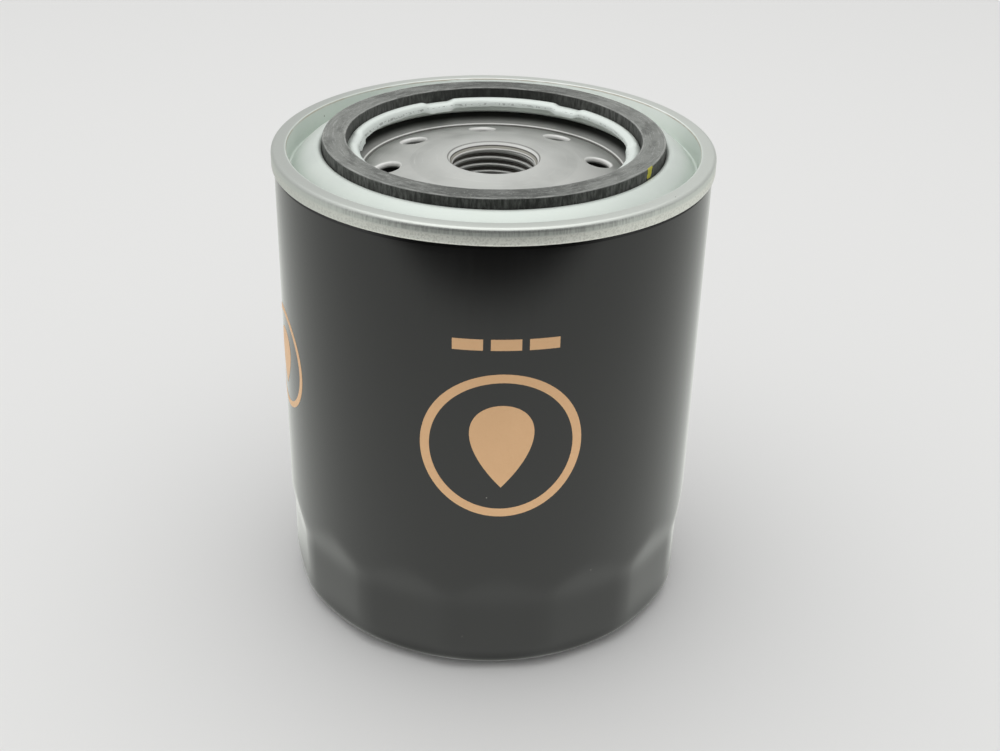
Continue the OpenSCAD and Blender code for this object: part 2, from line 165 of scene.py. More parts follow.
# Print on the can: a ring round a drop, with a row of rules, and a part of it again at the left
PRINT_CENTRE = math.radians(3.75)
PRINT_Z = 57.75
PRINT_RING_R = (16.5, 14.6)
PRINT_DROP = (19, 13)
SIDE_PRINT = math.radians(-73)
SIDE_PRINT_Z = 60.0
SIDE_PRINT_SIZE = 0.7
RULES_Z = 80.6
RULE_LEFTS = (-11, -3.5, 4)
RULE_L = 6
RULE_HALF_H = 1.2
FILM = 0.03

# Yellow paint mark on the gasket's side
MARK_TURN = math.radians(60.8)
MARK_TOP = 0.12
MARK_L = 2.0
MARK_HALF_W = 1.0

# Camera, solved from the photograph
CAMERA_PLACE = (2.378, -291.693, 209.99)
CAMERA_ELEVATION = math.radians(28.95)
CAMERA_ROLL = math.radians(1.33)
CAMERA_LENS = 52.44

# Studio: angles in degrees, and the lamp and the floor's half width in metres
HORIZON_LIGHT = 0.66
ZENITH_LIGHT = 1.1
LEFT_LIGHT = 1.15
RIGHT_LIGHT = 0.92
OVERHEAD_WATTS = 1.8
OVERHEAD_PLACE = (0, 0.05, 0.85)
OVERHEAD_AIM = (0, 0, 0.1)
OVERHEAD_SIZE = 0.9
OPENING_SIDE = (78, 24)
OPENING_TOP = (62, 46)
OPENING_FLOOR = (196, 272)
OPENING_DARK = 0.02
FLOOR_HALF = 4.0
FLOOR_FADE = (60, 380)
FLOOR_CONTACT_SHADOW = (44, 52)


# Outlines

def arc(centre, radius, start, end, steps):
    """Points of an arc, with its angles in degrees."""
    points = []
    for i in range(steps + 1):
        a = math.radians(start + (end - start) * i / steps)
        points.append(Vector((centre[0] + radius * math.cos(a), centre[1] + radius * math.sin(a))))
    return points


def rounded(corners, steps=5):
    """An open outline through corners (r, z, radius), with each corner rounded."""
    points = []
    for i, (r, z, radius) in enumerate(corners):
        here = Vector((r, z))
        if radius == 0:
            points.append(here)
            continue
        u = (Vector(corners[i - 1][:2]) - here).normalized()
        v = (Vector(corners[i + 1][:2]) - here).normalized()
        half = u.angle(v) / 2
        centre = here + (u + v).normalized() * radius / math.sin(half)
        first = here + u * radius / math.tan(half) - centre
        last = here + v * radius / math.tan(half) - centre
        turn = math.atan2(first.x * last.y - first.y * last.x, first.dot(last))
        start = math.atan2(first.y, first.x)
        points += arc(centre, radius, math.degrees(start), math.degrees(start + turn), steps)
    return points


def spaced(path, longest):
    """A path with its long stretches cut into steps of at most longest."""
    points = [path[0]]
    for a, b in zip(path, path[1:]):
        steps = max(1, math.ceil((b - a).length / longest))
        points += [a.lerp(b, i / steps) for i in range(1, steps + 1)]
    return points


def bend(a, b, c, steps):
    """Points of a bend from a to c that is drawn towards b."""
    shares = [i / steps for i in range(steps + 1)]
    return [a.lerp(b, t).lerp(b.lerp(c, t), t) for t in shares]


def beside(path, t):
    """An open path moved by t to its left, with mitred corners."""
    normals = []
    for a, b in zip(path, path[1:]):
        d = (b - a).normalized()
        normals.append(Vector((-d.y, d.x)))
    moved = [path[0] + t * normals[0]]
    for point, m, n in zip(path[1:-1], normals, normals[1:]):
        moved.append(point + t * (m + n) / (1 + m.dot(n)))
    moved.append(path[-1] + t * normals[-1])
    return moved


# Meshes

def mesh_piece(name, points, faces, material, body, sharp=35):
    """A piece from points in millimetres, shaded smooth but for corners over sharp degrees."""
    mesh = bpy.data.meshes.new(name)
    mesh.from_pydata([Vector(p) * MM for p in points], [], faces)
    work = bmesh.new()
    work.from_mesh(mesh)
    bmesh.ops.remove_doubles(work, verts=work.verts, dist=0.002 * MM)
    bmesh.ops.recalc_face_normals(work, faces=work.faces)
    work.to_mesh(mesh)
    work.free()
    shade(mesh, sharp)
    piece = bpy.data.objects.new(name, mesh)
    bpy.context.scene.collection.objects.link(piece)
    piece.data.materials.append(material)
    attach(piece, body)
    return piece


def shade(mesh, sharp):
    mesh.polygons.foreach_set("use_smooth", [True] * len(mesh.polygons))
    mesh.set_sharp_from_angle(angle=math.radians(sharp))
    mesh.update()


def lathe(outline, segments, warp=None):
    """Points and faces of a closed outline turned about Z. warp moves the outline's point i at an angle."""
    points, faces = [], []
    count = len(outline)
    for s in range(segments):
        a = 2 * math.pi * s / segments
        for i, (r, z) in enumerate(outline):
            if warp:
                r, z = warp(i, r, z, a)
            points.append((r * math.cos(a), r * math.sin(a), z))
    for s in range(segments):
        here, there = s * count, (s + 1) % segments * count
        for i in range(count):
            j = (i + 1) % count
            faces.append((here + i, there + i, there + j, here + j))
    return points, faces


def tube(path, wire_r, sides):
    """Points and faces of a round wire along a path of 3-D points, with flat ends."""
    points, faces = [], []
    for i, place in enumerate(path):
        ahead = (path[min(i + 1, len(path) - 1)] - path[max(i - 1, 0)]).normalized()
        out = Vector((place.x, place.y, 0)).normalized()
        out = (out - ahead * out.dot(ahead)).normalized()
        up = ahead.cross(out)
        for k in range(sides):
            a = 2 * math.pi * k / sides
            points.append(place + wire_r * (math.cos(a) * out + math.sin(a) * up))
    for i in range(len(path) - 1):
        for k in range(sides):
            a, b = i * sides + k, i * sides + (k + 1) % sides
            faces.append((a, b, b + sides, a + sides))
    tail = (len(path) - 1) * sides
    faces.append(tuple(range(sides)))
    faces.append(tuple(tail + k for k in range(sides)))
    return points, faces


def soft_step(edge0, edge1, x):
    t = min(1, max(0, (x - edge0) / (edge1 - edge0)))
    return t * t * (3 - 2 * t)


def soft_min(a, b, k):
    """The lesser of a and b, with the corner between them rounded over k."""
    h = max(k - abs(a - b), 0) / k
    return min(a, b) - h * h * k / 4


def ripple(angle, *waves):
    """A sum of waves round the axis, each a (count, height) pair."""
    return sum(height * math.sin(count * angle + count * count) for count, height in waves)


def nearest_turn(angle, first, count):
    """Angle from the nearest of count even places that start at first."""
    step = 2 * math.pi / count
    return (angle - first + step / 2) % step - step / 2


# Materials

class Nodes:
    """Short calls that add nodes to a material or the world. place is the point or direction they work on."""

    def __init__(self, owner):
        owner.use_nodes = True
        self.tree = owner.node_tree
        self.tree.nodes.clear()
        self.place = None

    def feed(self, socket, value):
        """Links a node's output to a socket, or sets the socket to a constant."""
        if isinstance(value, bpy.types.NodeSocket):
            self.tree.links.new(value, socket)
        elif socket.type == "RGBA":
            socket.default_value = (*value, 1)
        else:
            socket.default_value = value

    def add(self, kind, inputs, **settings):
        node = self.tree.nodes.new(kind)
        for key, value in settings.items():
            setattr(node, key, value)
        for key, value in inputs.items():
            self.feed(node.inputs[key], value)
        return node

    def stretched(self, vector, scale):
        return self.add("ShaderNodeVectorMath", {0: vector, 1: scale}, operation="MULTIPLY").outputs[0]

    def math(self, operation, a, b=0.0):
        return self.add("ShaderNodeMath", {0: a, 1: b}, operation=operation).outputs[0]

    def times(self, first, *others):
        for other in others:
            first = self.math("MULTIPLY", first, other)
        return first

    def axis(self, letter):
        return self.add("ShaderNodeSeparateXYZ", {0: self.place}).outputs[letter]

    def radius(self):
        flat = self.stretched(self.place, (1, 1, 0))
        return self.add("ShaderNodeVectorMath", {0: flat}, operation="LENGTH").outputs["Value"]

    def outward(self):
        """Direction of the place from the axis."""
        flat = self.stretched(self.place, (1, 1, 0))
        return self.add("ShaderNodeVectorMath", {0: flat}, operation="NORMALIZE").outputs[0]

    def studio_opening(self):
        """1 towards the studio's dark opening, where the photographer stands, and 0 to its sides."""
        ahead = self.add("ShaderNodeVectorMath", {0: self.outward(), 1: (0, -1, 0)}, operation="DOT_PRODUCT")
        wide, narrow = (math.cos(math.radians(a)) for a in OPENING_SIDE)
        return self.levels(ahead.outputs["Value"], wide, narrow)

    def facing_up(self):
        geometry = self.add("ShaderNodeNewGeometry", {})
        return self.add("ShaderNodeSeparateXYZ", {0: geometry.outputs["Normal"]}).outputs["Z"]

    def noise(self, size, stretch=(1, 1, 1), detail=3.0, roughness=0.55):
        """Noise with features of about size millimetres along an axis that isn't stretched."""
        vector = self.stretched(self.place, tuple(s / size for s in stretch))
        node = self.add("ShaderNodeTexNoise",
                        {"Vector": vector, "Scale": 1.0, "Detail": detail, "Roughness": roughness})
        return node.outputs["Fac"]

    def ring_noise(self, middle_r, along, across, detail=4.0, roughness=0.6):
        """Noise round the axis, with features of along by across millimetres at a middle radius."""
        out = self.add("ShaderNodeCombineXYZ", {2: self.times(self.radius(), 1 / across)}).outputs[0]
        round_it = self.stretched(self.outward(), (middle_r / along,) * 3)
        vector = self.add("ShaderNodeVectorMath", {0: round_it, 1: out}, operation="ADD").outputs[0]
        node = self.add("ShaderNodeTexNoise",
                        {"Vector": vector, "Scale": 1.0, "Detail": detail, "Roughness": roughness})
        return node.outputs["Fac"]

    def specks(self, spacing, radius, share):
        """Small dots, in a share of the cells of a spacing, in millimetres."""
        vector = self.stretched(self.place, (1 / spacing,) * 3)
        cells = self.add("ShaderNodeTexVoronoi", {"Vector": vector, "Scale": 1.0})
        near = self.math("LESS_THAN", cells.outputs["Distance"], radius / spacing)
        chosen = self.add("ShaderNodeSeparateColor", {0: cells.outputs["Color"]}).outputs[0]
        return self.times(near, self.math("LESS_THAN", chosen, share))

    def levels(self, value, low, high, to_low=0.0, to_high=1.0):
        """A value's stretch from low to high, as to_low to to_high."""
        node = self.add("ShaderNodeMapRange", {
            "Value": value, "From Min": low, "From Max": high, "To Min": to_low, "To Max": to_high},
            interpolation_type="SMOOTHSTEP")
        return node.outputs["Result"]

    def band(self, value, low, high, soft):
        """1 between low and high, and 0 past soft beyond them."""
        rise = self.levels(value, low - soft, low)
        return self.times(rise, self.levels(value, high, high + soft, 1.0, 0.0))

    def blend(self, amount, a, b):
        return self.add("ShaderNodeMix", {0: amount, 6: a, 7: b}, data_type="RGBA").outputs[2]


class Look(Nodes):
    """A procedural material on one shader."""

    def __init__(self, name, **constants):
        self.material = bpy.data.materials.new(name)
        super().__init__(self.material)
        output = self.tree.nodes.new("ShaderNodeOutputMaterial")
        self.shader = self.tree.nodes.new("ShaderNodeBsdfPrincipled")
        self.tree.links.new(self.shader.outputs[0], output.inputs["Surface"])
        coords = self.tree.nodes.new("ShaderNodeTexCoord")
        self.place = self.stretched(coords.outputs["Object"], (1 / MM, 1 / MM, 1 / MM))
        self.set(**constants)

    def set(self, **sockets):
        for socket, value in sockets.items():
            self.feed(self.shader.inputs[socket.replace("_", " ")], value)

    def bump(self, *layers):
        """Bumps from (height, depth in millimetres) layers, one over another."""
        normal = None
        for height, depth in layers:
            inputs = {"Height": height, "Distance": depth * MM, "Strength": 1.0}
            if normal:
                inputs["Normal"] = normal
            normal = self.add("ShaderNodeBump", inputs).outputs["Normal"]
        self.set(Normal=normal)


def enamel():
    """Black satin enamel with orange peel, faint rub marks and dust."""
    look = Look("black_enamel", Metallic=0.0, IOR=1.55)
    cloud = look.noise(28)
    rub = look.noise(1.4, stretch=(1, 1, 0.03), detail=4)
    dust = look.specks(4.5, 0.13, 0.1)
    tone = look.blend(cloud, (0.0042, 0.0042, 0.0041), (0.0078, 0.0078, 0.0076))
    look.set(Base_Color=look.blend(dust, tone, (0.3, 0.29, 0.26)))
    satin = look.levels(cloud, 0.3, 0.7, 0.1, 0.13)
    look.set(Roughness=look.math("ADD", satin, look.levels(rub, 0.45, 0.8, 0.0, 0.04)))
    look.bump((look.noise(0.9, detail=2), 0.0015), (dust, 0.02))
    return look.material


def seam_tones(look, plate, seam, side, pressed, streaks, fine):
    """The seam's colour: a painted dark reflection band with streaks in front, pale where it is pressed, and
    painted shade to the left.
    """
    z = look.axis("Z")
    worn = look.blend(seam, plate, (0.665, 0.697, 0.652))
    # Painted reflection: a darker band with streaks on the seam's side below its top, in front only
    front = look.levels(look.axis("Y"), -42.0, -26.0, 1.0, 0.0)
    front_reflection_band = look.times(side, front, look.band(z, SEAM_TOP - 1.4, SEAM_TOP - 0.5, 0.25))
    band_streaks = look.levels(streaks, 0.4, 0.62, 0.1, 0.75)
    worn = look.blend(look.times(front_reflection_band, band_streaks), worn, (0.4, 0.415, 0.395))
    worn = look.blend(pressed, worn, (0.83, 0.84, 0.782))
    mottled = look.levels(fine, 0.36, 0.56, 0.5, 0.0)
    worn = look.blend(look.times(pressed, mottled), worn, (0.52, 0.52, 0.475))
    # Painted shade: the seam is darkened towards the left
    left_painted_shade = look.times(seam, look.levels(look.axis("X"), -44.0, -10.0, 0.55, 0.0))
    return look.blend(left_painted_shade, worn, (0.42, 0.44, 0.415))


def lip_tones(look, worn, lip):
    """The rolled lip's colour: painted paler as painted light, with painted shade low on its inner face and a
    dotted dark line along its raw edge.
    """
    radius = look.radius()
    # Painted light: the lip is painted paler than the rest of the lid
    worn = look.blend(look.times(lip, 0.7), worn, (0.84, 0.9, 0.86))
    # Painted shade: the low part of the lip's inner face is darkened, and the dotted dark line is kept to
    # that part
    under = look.times(look.levels(radius, LIP_CREST_R - 0.8, LIP_CREST_R - 1.2),
                       look.levels(look.axis("Z"), SHOULDER_Z - 0.6, SHOULDER_Z - 1.1))
    worn = look.blend(look.times(under, 0.12), worn, (0.5, 0.545, 0.54))
    dots = look.times(look.band(radius, LIP_CREST_R - 1.46, LIP_CREST_R - 1.36, 0.04),
                      look.levels(look.noise(0.7), 0.5, 0.58))
    return look.blend(look.times(under, dots, 0.5), worn, (0.15, 0.15, 0.14))


def zinc():
    """Satin zinc plate on the lid, burnished and scuffed by the rollers on the seam, with painted reflection
    and shade on the seam and painted light on the lip and the seam's inner wall.
    """
    look = Look("zinc_plate", IOR=1.5)
    z = look.axis("Z")
    radius = look.radius()
    cloud = look.noise(9)
    fine = look.noise(0.4, detail=4)
    streaks = look.noise(0.5, stretch=(1, 1, 0.12), detail=5, roughness=0.65)
    plate = look.blend(look.levels(cloud, 0.3, 0.7), (0.685, 0.74, 0.695), (0.725, 0.778, 0.73))
    seam = look.levels(radius, SEAM_IN_R + 0.15, SEAM_IN_R + 0.5)
    side = look.times(look.levels(radius, SEAM_R - 0.6, SEAM_R - 0.3),
                      look.levels(z, SEAM_TOP - 0.2, SEAM_TOP - 0.4))
    pressed = look.times(side, look.levels(z, SEAM_TOP - 1.3, SEAM_TOP - 2.0))
    lip = look.levels(radius, LIP_CREST_R + 0.6, LIP_CREST_R - 0.4)
    worn = seam_tones(look, plate, seam, side, pressed, streaks, fine)
    worn = lip_tones(look, worn, lip)
    # Painted light: the seam's inner wall is painted paler at the back and to the right
    lit_chuck_wall = look.times(look.levels(radius, CHANNEL_OUTER_R - 0.3, CHANNEL_OUTER_R),
                       look.levels(seam, 0.0, 1.0, 1.0, 0.0),
                       look.levels(look.axis("Y"), 0.0, 28.0), look.levels(look.axis("X"), -32.0, -4.0))
    worn = look.blend(lit_chuck_wall, worn, (0.97, 1.0, 0.97))
    fold = look.times(look.band(radius, SEAM_IN_R - 0.02, SEAM_IN_R + 0.06, 0.06),
                      look.levels(z, SEAM_TOP - 0.5, SEAM_TOP - 0.2),
                      look.levels(look.noise(6.0), 0.35, 0.6, 0.3, 0.7))
    worn = look.blend(fold, worn, (0.46, 0.39, 0.29))
    pits = look.specks(3.2, 0.14, 0.1)
    look.set(Base_Color=look.blend(pits, worn, (0.2, 0.18, 0.15)))
    # Less metal on the painted-light parts, the lip and the seam's inner wall, so they look brighter
    painted_light_parts = look.times(look.math("MAXIMUM", lit_chuck_wall, lip), 0.3)
    look.set(Metallic=look.math("SUBTRACT", look.levels(seam, 0.0, 1.0, 0.45, 0.75), painted_light_parts))
    satin = look.levels(cloud, 0.3, 0.7, 0.46, 0.53)
    burnished = look.math("ADD", look.levels(streaks, 0.4, 0.7, 0.37, 0.45), look.times(pressed, 0.06))
    look.set(Roughness=look.add("ShaderNodeMix", {0: seam, 2: satin, 3: burnished}).outputs[0])
    look.bump((fine, 0.006), (look.times(side, streaks), 0.008), (cloud, 0.01))
    return look.material


def pressed_tone(look, radius, cloud, scuff):
    """The plate's colour: scuffed and specked, with painted shade on its cone and to the right, and pale at
    the bore.
    """
    tone = look.blend(look.levels(cloud, 0.3, 0.7), (0.505, 0.515, 0.49), (0.575, 0.585, 0.558))
    tone = look.blend(look.times(scuff, 0.3), tone, (0.74, 0.74, 0.715))
    tone = look.blend(look.specks(2.6, 0.11, 0.16), tone, (0.14, 0.13, 0.12))
    # Painted shade: the plate's cone by the lid is darkened
    cone_painted_shade = look.levels(radius, STEP_R + 0.1, STEP_R + 0.3)
    tone = look.blend(look.times(cone_painted_shade, 0.65), tone, (0.24, 0.24, 0.228))
    # Painted shade: the plate is darkened towards the right
    right_painted_shade = look.levels(look.axis("X"), 12.0, 27.0)
    tone = look.blend(look.times(right_painted_shade, 0.55), tone, (0.36, 0.365, 0.35))
    return look.blend(look.levels(radius, 17.0, 10.5, 0.0, 0.45), tone, (0.74, 0.75, 0.72))


def edge_tones(look, tone, radius, z):
    """The tone with painted shade lines and painted highlights at the dish's step and round the bore's mouth,
    and a mask of the painted highlights and the lead-in's painted shade.
    """
    # Painted highlight: a bright line along the dish step's crest
    crest = look.times(look.band(radius, STEP_R - 0.06, STEP_R + 0.16, 0.06),
                       look.levels(z, STEP_Z - 0.12, STEP_Z - 0.04))
    # Painted shade: dark lines at the dish's step wall, at the mouth's outer edge and where the first thread
    # groove would run out
    wall = look.band(radius, DISH_R - 0.25, STEP_R - 0.1, 0.06)
    mouth = look.band(radius, MOUTH_R - 0.06, MOUTH_R + 0.12, 0.05)
    run_out = look.band(radius, MOUTH_R - 0.6, MOUTH_R - 0.48, 0.06)
    lines = look.math("MAXIMUM", look.times(mouth, 0.6), look.times(run_out, 0.9))
    lines = look.math("MAXIMUM", look.times(wall, 0.75), lines)
    tone = look.blend(lines, tone, (0.11, 0.105, 0.095))
    # Painted highlight: a bright ring on the mouth's rounded rim
    rim = look.times(look.band(radius, MOUTH_R - 0.42, MOUTH_R - 0.18, 0.05),
                     look.levels(z, DISH_Z, DISH_Z + 1))
    above_thread = look.levels(z, FLANGE_TOP - 1.35, FLANGE_TOP - 1.1)
    # Painted shade: the lead-in cone, which stands in for the first thread turn, is darkened
    lead_in = look.times(look.band(radius, MINOR_R - 0.05, MOUTH_R - 0.62, 0.04), above_thread)
    tone = look.blend(look.times(lead_in, 0.8), tone, (0.36, 0.345, 0.29))
    # Painted highlight: a bright line where the lead-in cone meets the thread
    last_turn = look.times(look.band(radius, MINOR_R - 0.1, MINOR_R + 0.1, 0.05), above_thread)
    painted_highlights = look.math("MAXIMUM", crest, look.math("MAXIMUM", rim, last_turn))
    tone = look.blend(look.times(painted_highlights, 0.85), tone, (0.92, 0.92, 0.89))
    return tone, look.math("MAXIMUM", painted_highlights, lead_in)


def plate_steel():
    """Pressed steel with faint scuffs and oil-dark thread grooves, with painted shade where the lid meets it
    and in the inlets, and painted highlights on its edges and the inlets' rims.
    """
    look = Look("plate_steel", IOR=1.5)
    radius = look.radius()
    z = look.axis("Z")
    cloud = look.noise(6.5, detail=4)
    fine = look.noise(0.28, detail=3)
    scuff = look.levels(look.ring_noise(14.0, 9.0, 0.5, detail=5, roughness=0.65), 0.56, 0.7)
    tone = pressed_tone(look, radius, cloud, scuff)
    tone, painted_light_mask = edge_tones(look, tone, radius, z)
    top = look.math("SQRT", look.math("SUBTRACT", CROWN_R ** 2, look.math("POWER", radius, 2.0)))
    depth = look.math("SUBTRACT", look.math("ADD", top, CROWN_Z), z)
    holes = look.band(radius, 18.0, 27.0, 0.5)
    # Painted highlight: the inlets' rounded rims are painted pale
    inlet_rim_highlight = look.times(holes, look.band(depth, 0.12, 0.8, 0.15))
    tone = look.blend(look.times(inlet_rim_highlight, 0.8), tone, (0.9, 0.9, 0.87))
    # Painted shade: near black deep in the inlets and in the crevice where the plate meets the lid
    inlet_shade = look.times(look.levels(depth, 0.95, 1.3), holes)
    crevice_and_inlet_shade = look.math("MAXIMUM", inlet_shade, look.levels(radius, DISH_R + 0.75, DISH_R + 2.3))
    tone = look.blend(crevice_and_inlet_shade, tone, (0.025, 0.025, 0.023))
    groove = look.times(look.band(radius, MINOR_R + 0.5, MAJOR_R + 0.1, 0.15),
                        look.levels(z, FLANGE_TOP - 0.6, FLANGE_TOP - 1.2), 0.7)
    look.set(Base_Color=look.blend(groove, tone, (0.1, 0.08, 0.06)))
    # Less metal where light is painted, on the painted highlights and the lead-in's painted shade
    look.set(Metallic=look.levels(look.math("MAXIMUM", painted_light_mask, inlet_rim_highlight), 0.0, 1.0, 0.8, 0.2))
    rough = look.levels(cloud, 0.3, 0.7, 0.46, 0.55)
    look.set(Roughness=look.math("ADD", rough, look.times(scuff, -0.06)))
    look.bump((fine, 0.004), (cloud, 0.015), (scuff, 0.003))
    return look.material


def gasket_rubber():
    """Black rubber with a grey bloom smeared round its top, pale worn edges and streaks down its sides."""
    look = Look("gasket_rubber", Metallic=0.0, IOR=1.45)
    up = look.levels(look.facing_up(), 0.35, 0.8)
    radius = look.radius()
    middle = GASKET_R - GASKET_WIDTH / 2
    cloud = look.ring_noise(middle, 7.0, 2.4, detail=5, roughness=0.65)
    smears = look.ring_noise(middle, 4.0, 0.35, detail=6, roughness=0.75)
    fine = look.noise(0.35, detail=4)
    streaks = look.noise(0.6, stretch=(1, 1, 0.22), detail=6, roughness=0.7)
    inside = look.levels(radius, middle - 1, middle + 1, 0.45, 1.0)
    streaked = look.times(inside, look.levels(streaks, 0.4, 0.72))
    side = look.blend(streaked, (0.017, 0.018, 0.016), (0.088, 0.092, 0.085))
    sideways = look.levels(look.math("ABSOLUTE", look.axis("X")), 4.0, 32.0)
    streaked = look.times(sideways, look.levels(streaks, 0.3, 0.7, 0.1, 0.6))
    side = look.blend(streaked, side, (0.2, 0.206, 0.193))
    cloud = look.math("ADD", cloud, look.levels(sideways, 0.0, 1.0, -0.13, 0.08))
    bloom = look.blend(look.levels(cloud, 0.3, 0.7), (0.082, 0.087, 0.079), (0.235, 0.244, 0.228))
    bloom = look.blend(look.levels(smears, 0.5, 0.68, 0.0, 0.6), bloom, (0.38, 0.39, 0.37))
    powder = look.levels(look.noise(0.6, detail=6, roughness=0.8), 0.53, 0.66, 0.0, 0.5)
    bloom = look.blend(powder, bloom, (0.44, 0.455, 0.43))
    scratches = look.ring_noise(middle, 8.0, 0.14, detail=3)
    bloom = look.blend(look.levels(scratches, 0.62, 0.7, 0.0, 0.55), bloom, (0.55, 0.565, 0.54))
    outer_edge = look.band(radius, GASKET_R - 0.42, GASKET_R + 1, 0.1)
    inner_edge = look.band(radius, GASKET_R - GASKET_WIDTH - 1, GASKET_R - GASKET_WIDTH + 0.35, 0.1)
    edge = look.math("MAXIMUM", outer_edge, inner_edge)
    worn = look.times(edge, up, look.levels(smears, 0.4, 0.6, 0.1, 0.7))
    look.set(Base_Color=look.blend(worn, look.blend(up, side, bloom), (0.4, 0.41, 0.39)))
    look.set(Roughness=look.levels(cloud, 0.3, 0.7, 0.62, 0.8))
    look.bump((fine, 0.012), (streaks, 0.03), (cloud, 0.02))
    return look.material


def plain_rubber():
    look = Look("valve_rubber", Metallic=0.0)
    cloud = look.noise(4.0)
    look.set(Base_Color=look.blend(cloud, (0.008, 0.008, 0.008), (0.02, 0.02, 0.019)))
    look.set(Roughness=look.levels(cloud, 0.3, 0.7, 0.55, 0.75))
    look.bump((look.noise(0.4), 0.01))
    return look.material


def sheet_steel():
    look = Look("tinned_sheet", Metallic=1.0)
    cloud = look.noise(7.0, detail=4)
    lines = look.noise(0.5, stretch=(1, 0.05, 1), detail=4)
    look.set(Base_Color=look.blend(cloud, (0.5, 0.5, 0.48), (0.64, 0.64, 0.61)))
    look.set(Roughness=look.levels(lines, 0.3, 0.7, 0.3, 0.46))
    look.bump((lines, 0.006))
    return look.material


def spring_steel():
    look = Look("spring_wire", Metallic=1.0)
    cloud = look.noise(2.5, detail=4)
    look.set(Base_Color=look.blend(cloud, (0.2, 0.2, 0.205), (0.36, 0.36, 0.36)))
    look.set(Roughness=look.levels(cloud, 0.3, 0.7, 0.25, 0.4))
    look.bump((look.noise(0.3), 0.004))
    return look.material


def filter_paper():
    look = Look("filter_paper", Metallic=0.0)
    fibres = look.noise(0.45, stretch=(1, 1, 0.3), detail=5, roughness=0.7)
    warm = look.blend(look.noise(8.0), (0.6, 0.42, 0.2), (0.72, 0.55, 0.29))
    look.set(Base_Color=look.blend(look.levels(fibres, 0.35, 0.7, 0.0, 0.5), warm, (0.8, 0.67, 0.42)))
    look.set(Roughness=look.levels(fibres, 0.3, 0.7, 0.75, 0.9))
    look.bump((fibres, 0.05))
    return look.material


def cured_paste(name, dark, pale):
    """Glue or sealing paste between a dark and a pale colour."""
    look = Look(name, Metallic=0.0)
    cloud = look.noise(3.0, detail=4)
    look.set(Base_Color=look.blend(cloud, dark, pale))
    look.set(Roughness=look.levels(cloud, 0.3, 0.7, 0.4, 0.6))
    look.bump((look.noise(1.2), 0.05))
    return look.material


def print_ink():
    """Copper-brown ink, thin at places."""
    look = Look("print_ink", Metallic=0.5)
    cloud = look.noise(10)
    fine = look.noise(0.4, detail=4)
    tone = look.blend(cloud, (0.8, 0.5, 0.275), (0.87, 0.55, 0.31))
    look.set(Base_Color=look.blend(look.levels(fine, 0.62, 0.8, 0.0, 0.35), tone, (0.6, 0.38, 0.2)))
    look.set(Roughness=look.levels(fine, 0.3, 0.7, 0.42, 0.55))
    look.bump((fine, 0.004))
    return look.material


def marking_paint():
    look = Look("yellow_paint", Metallic=0.0)
    fine = look.noise(0.5, detail=4)
    look.set(Base_Color=look.blend(fine, (0.42, 0.4, 0.015), (0.62, 0.56, 0.04)))
    look.set(Roughness=look.levels(fine, 0.3, 0.7, 0.4, 0.6))
    look.bump((fine, 0.02))
    return look.material


ENAMEL = enamel()
ZINC = zinc()
PLATE_STEEL = plate_steel()
GASKET_RUBBER = gasket_rubber()
VALVE_RUBBER = plain_rubber()
SHEET_STEEL = sheet_steel()
SPRING_STEEL = spring_steel()
PAPER = filter_paper()
ADHESIVE = cured_paste("cured_adhesive", (0.42, 0.26, 0.13), (0.55, 0.37, 0.2))
COMPOUND = cured_paste("seam_compound", (0.3, 0.2, 0.1), (0.45, 0.32, 0.18))
INK = print_ink()
YELLOW = marking_paint()


# Can

def make_can():
    neck_r = SEAM_R - LID_T - SEAM_CLEAR
    outside = spaced(rounded([
        (0, BASE_PANEL_H, 0),
        (BASE_PANEL_R - BASE_PANEL_H, BASE_PANEL_H, 0.8),
        (BASE_PANEL_R, 0, 0.8),
        (CAN_R, 0, BASE_EDGE_R),
        (CAN_R, SEAM_LOW - SEAM_CLEAR - 0.6, 0.3),
        (neck_r, SEAM_LOW - SEAM_CLEAR, 0.3),
        (neck_r, CAN_HIGH.z, 0),
    ], steps=12), 1.5)
    outline = outside + beside(outside, CAN_WALL)[::-1]

    def flutes(i, r, z, angle):
        """Presses the flutes' flats into the can's closed end."""
        inset = 0 if i < len(outside) else CAN_WALL
        off = nearest_turn(angle, FRONT + FLUTE_TURN, FLUTE_COUNT)
        depth = FLUTE_DEPTH * (1 - soft_step(FLUTE_H - FLUTE_SLOPE_H, FLUTE_H, z))
        flat = CAN_R - depth
        to_next = 2 * math.pi / FLUTE_COUNT - abs(off)
        limit = soft_min(flat / math.cos(off), flat / math.cos(to_next), FLUTE_SOFT)
        return min(r, soft_min(r, limit - inset, FLUTE_SOFT * min(1, depth))) if depth else r, z

    points, faces = lathe(outline, segments=FLUTE_COUNT * 28, warp=flutes)
    piece = mesh_piece("can_shell", points, faces, ENAMEL, "housing")
    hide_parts("can")


# Lid

def lip_crimp(angle):
    """1 where the lip is crimped at this angle, and 0 between the crimps."""
    off = abs(nearest_turn(angle, FRONT + CRIMP_TURN, CRIMP_COUNT))
    return 1 - soft_step(CRIMP_HALF - CRIMP_FADE, CRIMP_HALF, off)


